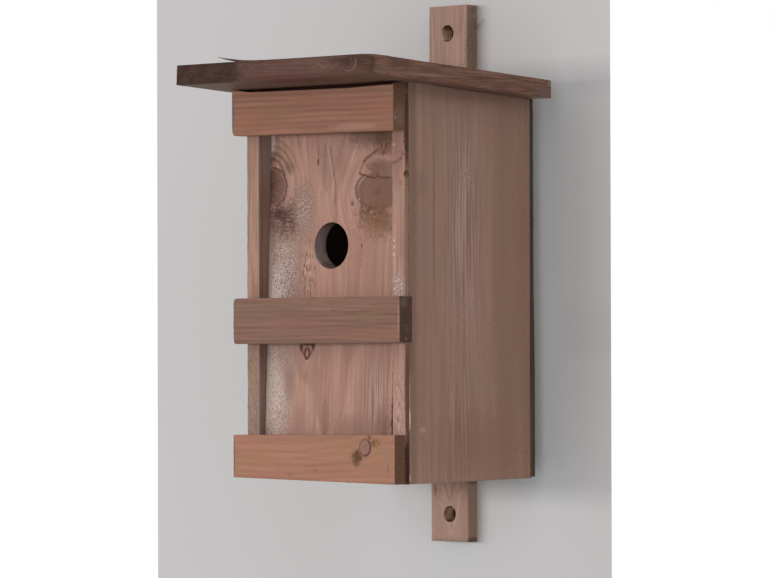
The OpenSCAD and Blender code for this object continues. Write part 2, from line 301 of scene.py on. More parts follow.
def timber(name, grain, early, late, end, pith, ring_mm, blush, ash, seed, fibre,
           rings=0.5, fibre_mm=0.9, streak=0.12, streak_mm=2.2, mottle=0.5,
           arris=0xA08C82, wear=0.5, wobble=9.0, end_grain=(0.9, 0.9, 0.9),
           marks=(), faces=()):
    """Solid timber in frame millimetres, so that every face of a board agrees with the next."""
    g = Graph(bpy.data.materials.new(name))
    at = g.scaled(g.place, 1 / MM)
    ragged = g.texture(RAGGED_PER_MM, detail=2.5)

    bent = at
    for mark in marks:
        if isinstance(mark, Knot):
            bent = bend_round(g, bent, mark)
    slow = g.texture(per_mm(grain, *DRIFT_MM), seed, colour=True)
    drift = g.scaled(g.vector("SUBTRACT", slow, (0.5, 0.5, 0.5)), 2 * wobble)
    from_pith = g.vector("SUBTRACT", g.vector("ADD", bent, drift), pith)
    across = tuple(0.0 if a else 1.0 for a in GRAIN_AXES[grain])
    radius = g.vector("LENGTH", g.vector("MULTIPLY", from_pith, across))
    turn = g.math("FRACT", g.math("DIVIDE", radius, ring_mm))
    summer = g.times(g.step(turn, 0.2, 0.85), g.step(turn, 0.9, 1.0, 1.0, 0.0))
    colour = g.mix(g.times(summer, rings), linear(early), linear(late))

    bent_offset = g.vector("ADD", bent, (seed * 131.0, seed * 57.0, seed * 211.0))

    def along_grain(short_mm, long_mm, **settings):
        place = g.vector("MULTIPLY", bent_offset, per_mm(grain, short_mm, long_mm))
        return g.noise(place, **settings)

    fibres = along_grain(fibre_mm, FIBRE_LENGTH, detail=3.5, roughness=0.62)
    broad = along_grain(*BROAD_MM)
    shade = g.math("MULTIPLY_ADD", fibres, 2 * fibre, 1 - fibre)
    shade = g.times(shade, g.math("MULTIPLY_ADD", broad, fibre, 1 - 0.5 * fibre))
    streaks = along_grain(streak_mm, STREAK_LENGTH, detail=1.5)
    streaks = g.step(streaks, 0.34, 0.66, 1 - streak, 1 + streak)
    shade = g.times(shade, streaks)
    colour = g.shaded(colour, shade)
    for index, tint in enumerate((blush, ash)):
        cloud = g.texture(per_mm(grain, *CLOUD_MM), seed + 0.4 + 0.3 * index, detail=3.0)
        colour = g.mix(g.step(cloud, 0.46, 0.7, 0.0, mottle), colour, linear(tint))
    grains = g.texture(GRIT_PER_MM, seed, detail=2.0, roughness=0.7)
    gritty = g.math("MULTIPLY_ADD", grains, 2 * GRIT, 1 - GRIT)
    colour = g.shaded(colour, gritty)

    relief = [g.times(fibres, 0.5), g.times(summer, 0.2 * rings), g.times(grains, 1.2 * GRIT)]
    normal = g.add("ShaderNodeNewGeometry").outputs["Normal"]
    for face in faces:
        mask = g.step(g.vector("DOT_PRODUCT", normal, face.toward), 0.5, 0.85, 0.0, face.strength)
        colour = g.mix(mask, colour, linear(face.colour))
    toward_end = g.math("ABSOLUTE", g.vector("DOT_PRODUCT", normal, GRAIN_AXES[grain]))
    pits = g.texture(end_grain, seed, detail=3.0, roughness=0.75)
    end_shade = g.mix(g.step(pits, 0.36, 0.64), linear(end, 0.68), linear(end))
    colour = g.mix(g.step(toward_end, 0.6, 0.9), colour, end_shade)
    for mark in marks:
        colour = DRAW[type(mark)](g, at, colour, mark, ragged)

    worn = g.add("ShaderNodeAttribute", attribute_name="edge").outputs["Fac"]
    worn = g.math("ADD", worn, g.times(ragged, 0.5))
    worn = g.times(g.step(worn, 0.75, 1.25), wear)
    colour = g.mix(worn, colour, linear(arris))

    height = g.math("ADD", g.math("ADD", relief[0], relief[1]), relief[2])
    bump = g.add("ShaderNodeBump", {"Height": height, "Strength": 0.8, "Distance": BUMP_MM * MM})
    roughness = g.math("MULTIPLY_ADD", fibres, 0.2, ROUGHNESS)
    shader = g.add("ShaderNodeBsdfPrincipled", {
        "Base Color": colour,
        "Roughness": roughness,
        "Specular IOR Level": SPECULAR,
        "Normal": bump.outputs[0],
    })
    return g.finish(shader)


# Board meshes
Chip = namedtuple("Chip", "at reach radius")
Sliver = namedtuple("Sliver", "root tip width thickness sag")


def lattice(cell, seed):
    """A repeatable random value from 0 to 1 at each whole-number cell."""
    mixed = cell[:, 0] * 374761393 + cell[:, 1] * 668265263 + cell[:, 2] * 1440662683
    mixed = mixed + seed * 1274126177
    mixed = (mixed ^ (mixed >> 13)) * 1274126177
    mixed = mixed ^ (mixed >> 16)
    return (mixed & 0xFFFF) / 0xFFFF


def noise(at, period, seed):
    """Smooth noise from 0 to 1, its period given in mm for x, y and z."""
    place = at / np.asarray(period, float) + 0.37 * seed
    cell = np.floor(place).astype(np.int64)
    t = place - cell
    t = t * t * (3 - 2 * t)
    out = np.zeros(len(at))
    for corner in product((0, 1), repeat=3):
        weight = np.prod(np.where(corner, t, 1 - t), axis=1)
        out += weight * lattice(cell + np.array(corner), seed)
    return out


def vertices_mm(node):
    return np.array([v.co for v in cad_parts[node].data.vertices]) / MM


def corners_of(node):
    """The eight corners of a CAD board in mm, indexed by its low or high side in x, y and z."""
    points = vertices_mm(node)
    out = np.zeros((2, 2, 2, 3))
    for side in product((0, 1), repeat=3):
        toward = 2 * np.array(side) - 1
        out[side] = points[np.argmax(points @ toward)]
    return out


def carried(corners, share):
    """Shares of a board's three sides, from 0 to 1, carried to its place in the frame."""
    out = np.zeros_like(share)
    for side in product((0, 1), repeat=3):
        weight = np.prod(np.where(side, share, 1 - share), axis=1)
        out += weight[:, None] * corners[side]
    return out


def grid_stops(length, radius, step):
    """Grid lines along one side, closer together at the two worn edges."""
    edge = radius * np.array([0.0, 0.3, 0.7, 1.2, 2.0])
    count = max(2, int(round((length - 2 * edge[-1]) / step)) + 1)
    inner = np.linspace(edge[-1], length - edge[-1], count)
    return np.concatenate([edge[:-1], inner, (length - edge[:-1])[::-1]])


def box_shell(stops):
    """The surface points of a box grid and the quads that join them, facing out."""
    counts = [len(s) for s in stops]
    inside = np.zeros(counts, bool)
    inside[1:-1, 1:-1, 1:-1] = True
    shell = np.argwhere(~inside)
    number = np.full(counts, -1)
    number[tuple(shell.T)] = np.arange(len(shell))
    places = np.stack([stops[a][shell[:, a]] for a in range(3)], axis=1)
    quads = []
    for axis, end in product(range(3), (0, -1)):
        face = np.take(number, end, axis=axis)
        quad = np.stack([face[:-1, :-1], face[1:, :-1], face[1:, 1:], face[:-1, 1:]], axis=-1)
        quad = quad.reshape(-1, 4)
        if (axis != 1) != (end == -1):
            quad = quad[:, ::-1]
        quads.append(quad)
    return places, np.concatenate(quads)


HEADED = ("nails", "pins", "screws")


def head_spots():
    """Centre in mm and radius of every fixing's head, from the CAD nodes of the fixings."""
    spots = []
    for name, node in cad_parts.items():
        if not any(word in name for word in HEADED):
            continue
        points = vertices_mm(name)
        parent = list(range(len(points)))

        def root(i):
            while parent[i] != i:
                parent[i] = parent[parent[i]]
                i = parent[i]
            return i

        seen = {}
        for i, key in enumerate(map(tuple, np.round(points, 2))):
            parent[root(i)] = root(seen.setdefault(key, i))
        for edge in node.data.edges:
            a, b = edge.vertices
            parent[root(a)] = root(b)
        groups = np.array([root(i) for i in range(len(points))])
        for group in np.unique(groups):
            part = points[groups == group]
            size = np.ptp(part, axis=0)
            axis = int(np.argmax(size))
            head = part[part[:, axis] > part[:, axis].max() - 0.3]
            spots.append((head.mean(axis=0), np.delete(size, axis).max() / 2))
    return spots


def sliver_mesh(sliver, count):
    """A torn splinter as a tapered, slightly curved blade from root to tip."""
    root, tip = np.array(sliver.root, float), np.array(sliver.tip, float)
    run = tip - root
    side = np.cross(run, (0, 0, 1.0))
    side /= np.linalg.norm(side)
    lift = np.cross(side, run)
    lift /= np.linalg.norm(lift)
    points, quads = [], []
    steps = 12
    for i in range(steps + 1):
        t = i / steps
        slim = (1 - t) ** 0.8 + 0.03
        centre = root + run * t + lift * sliver.sag * (4 * t * (1 - t))
        w = side * sliver.width / 2 * slim
        h = lift * sliver.thickness / 2 * slim
        points += [centre + w, centre + h, centre - w, centre - h]
    for i in range(steps):
        for j in range(4):
            a, b = 4 * i + j, 4 * i + (j + 1) % 4
            quads.append((count + a, count + a + 4, count + b + 4, count + b))
    last = 4 * steps
    quads.append((count, count + 1, count + 2, count + 3))
    quads.append((count + last + 3, count + last + 2, count + last + 1, count + last))
    return np.array(points), quads


def make_object(name, points_mm, faces, material, smooth=True):
    mesh = bpy.data.meshes.new(name)
    mesh.from_pydata([tuple(p) for p in np.array(points_mm) * MM], [], faces)
    mesh.polygons.foreach_set("use_smooth", [smooth] * len(mesh.polygons))
    mesh.materials.append(material)
    mesh.update()
    return add_object(name, mesh)


HEADS = head_spots()
HEAD_DIP = 0.22
LATH_HOLE_Z = 174.0


def board(node, material, grain, radius=0.65, step=1.6, relief=0.1, ragged=0.6, seed=1,
          chips=(), slivers=(), carve=None, shape=None):
    """The dressed board that stands for a CAD board: worn edges and a slightly uneven face."""
    corners = corners_of(node)
    ends = corners, corners.swapaxes(0, 1), np.moveaxis(corners, 2, 0)
    size = np.array([np.linalg.norm(high.mean(axis=(0, 1)) - low.mean(axis=(0, 1)))
                     for low, high in ends])
    thin = min(radius, 0.24 * size.min())
    steps = [min(step, s / 8) for s in size]
    places, quads = box_shell([grid_stops(s, thin, t) for s, t in zip(size, steps)])
    at = carried(corners, places / size)

    round_mm = thin * (0.4 + ragged * 1.2 * noise(at, (5, 5, 5), seed) ** 2)
    for chip in chips:
        near = np.linalg.norm(at - np.array(chip.at), axis=1) / chip.reach
        round_mm = np.maximum(round_mm, chip.radius * np.clip(1.25 * (1 - near), 0, 1))
    round_mm = np.minimum(round_mm, 0.45 * size.min())[:, None]
    core = np.clip(places, round_mm, size - round_mm)
    out = places - core
    out /= np.linalg.norm(out, axis=1)[:, None]
    places = core + out * round_mm
    edge = 1 - np.clip((np.abs(out).max(axis=1) - 0.72) / 0.28, 0, 1)

    stretch = np.array(GRAIN_AXES[grain])
    depth = relief * (0.6 * noise(at, 12 + 60 * stretch, seed + 1)
                      + 0.4 * noise(at, 2.2 + 30 * stretch, seed + 2))
    if carve:
        depth = depth + carve(at)
    for centre, head_radius in HEADS:
        near = np.linalg.norm(at - centre, axis=1)
        depth = depth + HEAD_DIP * np.clip((head_radius + 2.0 - near) / 1.5, 0, 1)
    places = places - out * depth[:, None]
    points = carried(corners, places / size)
    if shape:
        points = shape(points)

    faces = [tuple(q) for q in quads.tolist()]
    for sliver in slivers:
        extra, extra_faces = sliver_mesh(sliver, len(points))
        points = np.concatenate([points, extra])
        edge = np.concatenate([edge, np.full(len(extra), 0.3)])
        faces += extra_faces
    made = make_object(node + "_wood", points, faces, material)
    attribute = made.data.attributes.new("edge", "FLOAT", "POINT")
    attribute.data.foreach_set("value", np.asarray(edge, np.float32))
    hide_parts(node)
    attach(made, "root")
    return made


def drill(target, bore, centre_mm, axis, radius, length, flare, seed, fray=0.25, around=96,
          splinters=False):
    """Cuts a round hole with a slightly torn wall of its own material and softened rims."""
    axis = np.array(axis, float) / np.linalg.norm(axis)
    side = np.cross(axis, (0, 0, 1.0))
    side /= np.linalg.norm(side)
    up = np.cross(side, axis)
    half = length / 2
    levels = [(-half - 3, flare + 0.35), (-half - 0.05, flare), (-half + 0.35, 0.4 * flare),
              (-half + 1.0, 0.0)]
    levels += [(-half + 1.0 + (length - 2.0) * i / 6, 0.0) for i in range(1, 6)]
    levels += [(-a, grow) for a, grow in levels[3::-1]]
    angle = 2 * np.pi * np.arange(around) / around
    outward = np.cos(angle)[:, None] * side + np.sin(angle)[:, None] * up
    points, faces = [], []
    for distance, grow in levels:
        ring = np.array(centre_mm) + distance * axis + radius * outward
        torn = fray * noise(ring, (1.8, 2.5, 1.8), seed)
        points.append(ring + (torn + grow)[:, None] * outward)
    for i, j in product(range(len(levels) - 1), range(around)):
        a, b = i * around + j, i * around + (j + 1) % around
        faces.append((a, a + around, b + around, b))
    faces.append(tuple(range(around)))
    faces.append(tuple((len(levels) - 1) * around + j for j in range(around))[::-1])
    cutter = make_object("drill", np.concatenate(points), faces, bore)
    modifier = target.modifiers.new("hole", "BOOLEAN")
    modifier.operation = "DIFFERENCE"
    modifier.solver = "EXACT"
    modifier.material_mode = "TRANSFER"
    modifier.use_self = splinters
    modifier.object = cutter
    depsgraph = bpy.context.evaluated_depsgraph_get()
    cut = bpy.data.meshes.new_from_object(target.evaluated_get(depsgraph))
    target.modifiers.clear()
    target.data = cut
    bpy.data.objects.remove(cutter)
    cut.set_sharp_from_angle(angle=math.radians(32))


# The front board's knots, cracks and stains, and patches of painted shade and painted light, in frame
# millimetres
FRONT_Y = -137
FRONT_FOOT = (-142.7, -147.3)
FRONT_LEAN = math.tan(math.radians(1.95))
THROUGH = 60


def on_front(*points):
    """Places across (x) and up (z) the leaning front board, as points on it."""
    foot_y, foot_z = FRONT_FOOT
    return tuple((x, foot_y + FRONT_LEAN * (z - foot_z), z) for x, z in points)


def at_depth(y, *points):
    """Places across and up, as points at one depth."""
    return tuple((x, y, z) for x, z in points)


# Makers of marks, called with x and z (the side's with y and z) and the reach both ways
front = marks_on(1, FRONT_Y, THROUGH)
front_knot = marks_on(1, FRONT_Y, THROUGH, Knot)
front_arc = marks_on(1, FRONT_Y, THROUGH, Arc)
side_face = marks_on(0, 80, 6)
left_strip = marks_on(1, -147, 4.5)
right_strip = marks_on(1, -147, 4)
top = marks_on(1, -159, 6)
middle = marks_on(1, -160, 6)
bottom = marks_on(1, -158, 5)
roof_edge = marks_on(1, -201, 6)
lath_face = marks_on(1, -10.5, 4)

FRONT_MARKS = (
    front_knot(-57, 61, 14, 13.4, 0x725044, 0x68463B, 0.9, 0.1),
    front_knot(45, 55, 21, 15, 0x725143, 0x6A483B, 0.82, 0.04),
    front_knot(-19.5, -51, 8.2, 9.5, 0x8A6557, 0x7A5548, 0.5, 0.1),
    front_knot(-12.7, 77.6, 1.5, 3, 0x704E46, 0x704E46, 0.85, 0),
    # Darker under the top batten: painted shade, with some darker tint of the board
    front(36, 96, 34, 14, 0x6A4E42, 0.8, core=0.1),
    front(50, 92, 14, 8, 0x5D3F32, 0.8, core=0.3),
    front(10, 76, 8, 18, 0x86665A, 0.5, core=0.1),
    front(18, 67, 5, 14, 0xA07E6C, 0.55, core=0.1),
    front(-6, 78, 9, 26, 0x8E6E62, 0.5, core=0.1),
    front(-41, 74, 8, 6, 0x7C604E, 0.6),
    front(45, 36, 25, 17, 0x6C4832, 0.85, 0x88624A, (0.25, 0.1, 0.5), 0.6, 0.1),
    front(35, 41, 13, 7, 0x5E3C2C, 0.8, 0xA27C68, (0.25, 0.1, 0.5), 0.6, 0.2, (0.48, 0.62)),
    front(47, 71, 17, 8.5, 0x6E4D40, 0.8, 0x886657, (0.12, 0.1, 0.12), 0.5),
    front(-45, 2, 26, 58, 0x60443A, 0.95, 0xBCA196, SPECKLE, 0.7, 0.1, (0.39, 0.5)),
    front(-54, -20, 18, 38, 0x745A50, 0.9, 0xDAC4BA, SPECKLE, 0.6, 0.1, (0.35, 0.46)),
    # Pale wood along the left edge, painted paler still: painted light that lifts the shade in the
    # corner by the left strip
    front(-59, 6, 4, 30, 0xBAA297, 0.8, ragged=0.6),
    front(-50, -86, 22, 60, 0x7C6258, 0.95, 0xCAB4A9, SPECKLE, 0.6, 0.1, (0.34, 0.52)),
    front(-59, -84, 8, 50, 0x967E72, 0.75, 0xD0BEB3, SPECKLE, 0.5, 0.2, (0.32, 0.48)),
    front(-25.3, -52.8, 2.1, 3.8, 0x482A1E, 0.95, core=0.3),
    front(-18.6, -50.4, 7, 2, 0x543428, 0.85, core=0.3),
    front(-13.6, -52.2, 2.4, 3.4, 0x4A291F, 0.9, core=0.3),
    front(-38, -62, 12, 16, 0x86665A, 0.7, 0xBEA094, SPECKLE, 0.6, 0.1, (0.38, 0.54)),
    # Pale wood along the left edge, painted paler still: painted light that lifts the shade in the
    # corner by the left strip
    front(-59.5, -86, 4, 50, 0xC4B0A4, 0.6),
    front(-36.7, -78, 7, 17, 0x7E5C50, 0.45, 0x9E7E72, (0.6, 0.3, 0.4), 0.6, 0.2),
    front(-30, 43, 19, 25, 0x6E4F44, 0.75, 0xA88A7C, (0.7, 0.2, 0.9), 0.6, 0.1),
    front(-44, 37, 20, 17, 0x4C2F27, 0.92, 0x96786C, (0.24, 0.1, 0.95), 0.7, 0.2, (0.44, 0.62)),
    front(-50, 42.5, 12, 5.5, 0x52332B, 0.8, core=0.2),
    front(-25, 44, 13, 25, 0x74564A, 0.75, 0xC0A496, SPECKLE, 0.7, 0.1, (0.42, 0.54)),
    front(50, 85.5, 9.5, 6, 0x5D392A, 0.92, 0x94705D, (0.8, 0.1, 0.25), 0.6),
    front(40, 4, 18, 34, 0x967062, 0.45, core=0.2),
    front(21.4, 57, 2.6, 7.5, 0xAA897A, 0.9),
    front(27.3, 50.2, 1.2, 1.5, 0xCEB2A2, 0.95, ragged=0.1),
    front(21, 47.5, 1.8, 2.4, 0x644438, 0.8),
    front(-20, 2, 11, 36, 0x745244, 0.85, 0xC09A88, (0.85, 0.3, 0.2), 0.6, 0.2, (0.38, 0.56)),
    front(46, -90, 20, 46, 0x826155, 0.85, 0xB89687, (0.62, 0.1, 0.015), 0.4, 0.1, (0.38, 0.58)),
    front(55, -112, 10, 26, 0x68463A, 0.75, 0x987668, (0.5, 0.1, 0.03), 0.4, 0.1),
    front(30, -112, 34, 16, 0x8C685C, 0.5, core=0.5),
    front(-1, -104, 5, 20, 0x8C685C, 0.65),
    front(-26, -104, 8, 22, 0x927264, 0.5, core=0.2),
    front(-13.8, -102, 2, 13, 0xB48E7A, 0.65, core=0.2),
    front(-8.4, -106, 1.4, 11, 0xBA9682, 0.7, core=0.2),
    front(-8, -60, 2.2, 11, 0xB48E7E, 0.6, core=0.2),
    # Pale wood by the left strip's top, painted near white: painted light that lifts the shade in the
    # corner under the top batten
    front(-59.2, 92, 5, 12, 0xEAD4C6, 0.98),
    front_arc(-57, 61, 14, 13.6, (1, 0, 0.1), 85, 1.5, 0x624032, 0.85),
    front_arc(-55.5, 61, 17, 15.6, (1, 0, 0.3), 45, 1.6, 0xAE8C7C, 0.65),
    front_arc(-58, 62, 14, 19, (0.5, 0, 1), 42, 2.2, 0x66473B, 0.65),
    front_arc(-58, 62, 19, 23, (0.6, 0, 1), 36, 2.2, 0x66483C, 0.6),
    front_arc(-58, 62, 23, 28, (0.7, 0, 1), 32, 1.4, 0x74584C, 0.5),
    front_arc(-58, 62, 27, 33, (0.8, 0, 1), 30, 1.4, 0x785C50, 0.45),
    front_arc(44, 57, 20, 13, (-1, 0, -0.2), 62, 1.4, 0x68463A, 0.75),
    front_arc(-19.5, -51, 8.2, 9.6, (0, 0, -1), 50, 1, 0xB29282, 0.5),
    front_arc(-19.6, -57.2, 2.3, 3.4, (0, 0, -1), 179, 1.4, 0x4C281D, 0.95),
    Line(on_front((-25, -53.6), (-22.4, -58.2), (-20.4, -61.2)), 1.3, 0x684639, 0.7),
    Line(on_front((-14.2, -53.6), (-16.2, -58.4), (-18.8, -61.2)), 1, 0x725044, 0.55),
    Line(on_front((27.3, 68.2), (30.1, 67.6), (37.8, 65.7), (40.8, 65.1)), 1.4, 0x5C3A32),
    Line(on_front((40.8, 65.1), (44.8, 65.9), (50.7, 64.8), (60, 65.1)), 1.2, 0x603E35),
    Line(on_front((43.5, 84.5), (36, 80.5), (31.6, 77.2)), 1.8, 0x68463B, 0.75),
    Line(on_front((31.6, 77.2), (29.2, 73.6), (27.3, 68.2)), 1.4, 0x745046, 0.55),
    Line(on_front((-60, 61.8), (-54.6, 64.1), (-49.5, 65.8)), 0.9, 0x54322C, 0.5),
    Line(on_front((-12.4, 88), (-12.7, 80)), 0.8, 0x76564C, 0.6),
    Line(on_front((-6.5, 91), (-6, 72)), 0.9, 0x7A5C52, 0.6),
    Line(on_front((-3.9, 90), (-1, 76), (1.8, 64.8), (2.2, 52)), 1.2, 0xB08D7F, 0.6),
    Line(on_front((-1.3, 88), (2.2, 72), (4.6, 61), (4.5, 48)), 1.1, 0x7A5A50, 0.65),
    Line(on_front((30.5, 19), (30.5, 4)), 0.9, 0x866256, 0.55),
    Line(on_front((30.5, 18.6), (30.6, 17.4)), 1.2, 0x6E4C42, 0.8),
    Line(on_front((62.6, -60), (62.8, -96)), 0.9, 0x4E2C20, 0.85),
    Line(on_front((62.8, -94), (63.2, -134)), 1.5, 0x3E2018, 0.95),
    Line(on_front((14, 16), (18.5, 11)), 0.7, 0xB29080, 0.7),
)

# Timbers, one look for each board
PINE_FRONT = timber(
    "front_pine", "z", 0xB18979, 0x936D5F, 0x7A5A4A, (4, -60, 0),
    ring_mm=4.4, rings=0.45, fibre=0.16, streak=0.09, streak_mm=1.9, blush=0xA8786D,
    ash=0x987B68, mottle=0.45, seed=1, wobble=12, marks=FRONT_MARKS,
)
SIDE_MARKS = (
    side_face(-139.5, 0, 7, 300, 0x765B4D, 0.75, core=0.3),
    side_face(-86, 30, 27, 130, 0x816154, 0.8, 0xAC8B7D, (0.1, 0.46, 0.012), 0.5, 0.1, (0.42, 0.62)),
    side_face(-92, -112, 26, 64, 0x7E5C4E, 0.8, 0xA68474, (0.1, 0.46, 0.015), 0.5, 0.1, (0.42, 0.62)),
    side_face(-84, 66, 10, 14, 0x88675A, 0.6, 0xAC8C7E, (0.1, 0.5, 0.3), 0.5, 0.1),
    side_face(-84, -28, 14, 16, 0x866658, 0.5, 0xA88878, (0.1, 0.5, 0.3), 0.5, 0.1),
    side_face(-38, 0, 26, 300, 0x7E5E4E, 0.7, core=0.3),
    side_face(-17, 0, 11, 300, 0x765B4C, 0.75, core=0.3),
    side_face(-25, 20, 4.5, 150, 0x865C40, 0.5, core=0.2),
    # Lighter upper part of the left inner face: painted light that lifts its shade
    Patch((-59.2, -138, 96), (2, 13, 46), 0x9C8479, 0.85, core=0.5),
    Patch((80.3, -13.5, 0), (1.6, 1.6, 300), 0x322822, 0.92, core=0.6, ragged=0.2),
    side_face(-130, -20, 11, 120, 0x8C6A5C, 0.5),
    side_face(-127, 20, 9, 34, 0x847060, 0.6, core=0.1),
    side_face(-117, 40, 1.8, 90, 0x705042, 0.55, core=0.2),
    # Darker band along the side's top under the roof: painted shade
    side_face(-80, 124, 75, 9, 0x725244, 0.5, core=0.2),
    side_face(-130, 60, 12, 14, 0x785C4E, 0.4, core=0.1),
    Patch((80.3, -129, -110), (5, 4.5, 2.6), 0xA6867A, 0.7),
    side_face(-66, -122, 76, 38, 0x805C4C, 0.6, core=0.1),
    Patch((80.3, -142.9, -85), (3, 0.8, 15), 0xB89A88, 0.65, ragged=0.6),
    Patch((80.3, -142.8, -102), (3, 1.1, 9), 0xDCC0AA, 0.95, ragged=0.5),
    Patch((80.3, -142.4, -143), (3, 1.2, 3.4), 0xB09482, 0.75),
    Patch((80.3, -141, -60), (3, 3, 14), 0x705240, 0.6),
)
PINE_SIDE = timber(
    "side_pine", "z", 0x947363, 0x896859, 0x785646, (150, -75, 0),
    ring_mm=6, rings=0.35, fibre=0.13, fibre_mm=0.8, streak=0.05, blush=0x90695A,
    ash=0x86705C, mottle=0.4, seed=2, arris=0x745C4E, marks=SIDE_MARKS,
)
LEFT_STRIP_MARKS = (
    left_strip(-65, -95, 30, 80, 0x806A5C, 0.8, 0x9E8276, (0.5, 0.2, 0.25), 0.5, 0.1),
    Patch((-65.1, -147, -75), (3, 3.5, 36), 0x92795D, 0.7, core=0.1),
    left_strip(-65, 50, 10, 76, 0x947465, 0.6, 0xBA9378, (0.6, 0.2, 0.02), 0.5, 0.3),
    left_strip(-66.5, 90, 9, 40, 0x927062, 0.55, core=0.2),
    # Dark top of the strip under the roof: painted shade
    Patch((-65, -147, 128), (30, 12, 4.5), 0x3E2C22, 0.9),
    # Lighter upper part of the left inner face: painted light that lifts its shade
    Patch((-59.2, -145, 96), (2, 6, 46), 0x988075, 0.85, core=0.5),
    Patch((-59.2, -145, -96), (2, 6, 46), 0x8E776C, 0.7),
)
PINE_LEFT_STRIP = timber(
    "left_strip_pine", "z", 0xA07C6C, 0x8A665A, 0x7A5A4A, (-64, -100, 0),
    ring_mm=2.6, fibre=0.26, streak=0.2, streak_mm=1.4, blush=0xA87C65,
    ash=0x88776C, mottle=0.8, seed=3, arris=0x887870,
    faces=(Face((1, 0, 0), 0x7F685E, 0.9),), marks=LEFT_STRIP_MARKS,
)
RIGHT_STRIP_MARKS = (
    # Darker strip below the top batten: painted shade
    Patch((74, -147, 90), (9, 5, 13), 0x8C6C5E, 0.8, core=0.5),
    Patch((74, -147, 76), (9, 5, 26), 0x8E675A, 0.6, core=0.3),
    # Dark top of the strip under the roof: painted shade
    Patch((74, -147, 128.5), (30, 12, 4), 0x483226, 0.92),
    right_strip(73.5, -12, 9, 14, 0x866458, 0.85, 0xD6BEB2, (0.8, 0.3, 0.6), 0.6, 0.2),
    right_strip(69.8, 14, 1.6, 12, 0x8E6A5E, 0.8, 0xD8BEB0, (0.8, 0.3, 0.4), 0.5, 0.3),
    right_strip(74, -96, 8, 44, 0x8E6A5D, 0.7, 0xC09E90, (0.8, 0.3, 0.2), 0.6, 0.2, (0.4, 0.56)),
    right_strip(68.2, -95, 1.2, 40, 0xC09E90, 0.6),
    right_strip(79.2, -95, 1, 40, 0xBC9886, 0.5),
    right_strip(77, 66, 3, 5, 0xB07C68, 0.6),
    right_strip(76.3, 60, 2.2, 2.4, 0x9E665C, 0.7),
    right_strip(69.9, 87, 1.5, 1.2, 0xB89C8E, 0.8),
    # Very dark upper part of the strip's side: painted shade of the gap by the side panel
    Patch((80.3, -145, 101), (2, 3.5, 32), 0x482A1C, 0.95, core=0.6),
    Patch((80.3, -145, 66.5), (2, 3.6, 3), 0x42261A, 0.95, core=0.7),
    Patch((80.3, -144, -134), (2.5, 4.5, 25), 0x341109, 0.98, core=0.75),
    Patch((80.3, -145, -86), (1.6, 3.8, 40), 0x604033, 0.85, core=0.6, ragged=0.5),
    Patch((80.3, -145, 18), (1.6, 3.8, 54), 0x8C6D5D, 0.85, core=0.6),
    Line(at_depth(-147, (68.5, 74.4), (73, 75.4), (76.9, 77.2), (78.6, 81.5)), 1.7, 0x7A554C, 0.85),
)
PINE_RIGHT_STRIP = timber(
    "right_strip_pine", "z", 0xA98376, 0x926B5F, 0x7A5A4A, (60, -90, 0),
    ring_mm=3, fibre=0.26, streak=0.17, streak_mm=1.4, blush=0xB07D71,
    ash=0xA08472, mottle=0.7, seed=4,
    faces=(Face((1, 0, 0), 0x72503E, 0.85),), marks=RIGHT_STRIP_MARKS,
)
TOP_MARKS = (
    top(44, 100, 28, 3, 0xA87C6D, 0.75),
    # Darker top of the batten under the roof: painted shade
    top(3, 127.5, 80, 4.5, 0x7C574B, 0.5),
    top(-60, 108, 14, 12, 0x9E6850, 0.5, core=0.1),
    top(-73.8, 113, 2.2, 15, 0x705C5E, 0.85, core=0.6, ragged=0.2),
    Patch((81, -153, 106), (3, 7, 11), 0x7A5E54, 0.5, 0x70584A, (0.2, 0.25, 0.12), 0.6),
    Patch((81, -157, 105), (3, 1.6, 1.4), 0x8E8C90, 0.4),
)
BATTEN_TOP = timber(
    "top_batten_pine", "x", 0x996D5B, 0x845B4C, 0x76503B, (0, -130, 60),
    ring_mm=3.2, rings=0.6, fibre=0.15, streak=0.08, blush=0x966250, ash=0x8C6B52,
    mottle=0.6, seed=5, arris=0x7C6662, wear=0.6, wobble=7, marks=TOP_MARKS,
)
MIDDLE_MARKS = (
    middle(50, -44, 40, 5, 0x8A6052, 0.5),
    middle(58, -31, 16, 8, 0x7E624E, 0.6),
    middle(20, -21, 70, 4, 0x8C6C5A, 0.6, 0x785648, (0.06, 0.2, 1.2), 0.5),
    middle(-70, -22, 5, 10, 0x746854, 0.6, core=0.1),
    Patch((87, -154, -40), (4, 7, 8), 0x402C23, 0.7, 0x5C4638, (0.3, 0.3, 0.3), 0.6, 0.1),
    Patch((87, -156, -22), (4, 5, 5), 0x685242, 0.6),
    Patch((87, -153.4, -47), (2, 0.9, 0.9), 0xA48C7A, 0.6, ragged=0.1),
    Patch((86, -160.3, -34), (1.3, 1.6, 17), 0xA07E70, 0.55, core=0.2),
    Line(at_depth(-160, (22, -27), (44, -28.2), (60, -28)), 0.7, 0x684A40, 0.6),
    Line(at_depth(-160, (-20, -38), (2, -38.6)), 0.6, 0x6C4E42, 0.5),
)
BATTEN_MIDDLE = timber(
    "middle_batten_pine", "x", 0x836153, 0x715043, 0x563B2C, (0, -150, -70),
    ring_mm=3.4, rings=0.45, fibre=0.24, fibre_mm=1.1, streak=0.13, blush=0x855D4F,
    ash=0x7F6554, mottle=0.6, seed=6, arris=0x74675A, wear=0.6, wobble=8, marks=MIDDLE_MARKS,
)
BATTEN_KNOT = (52.4, -158, -121.9), (4.9, 30, 5.6)
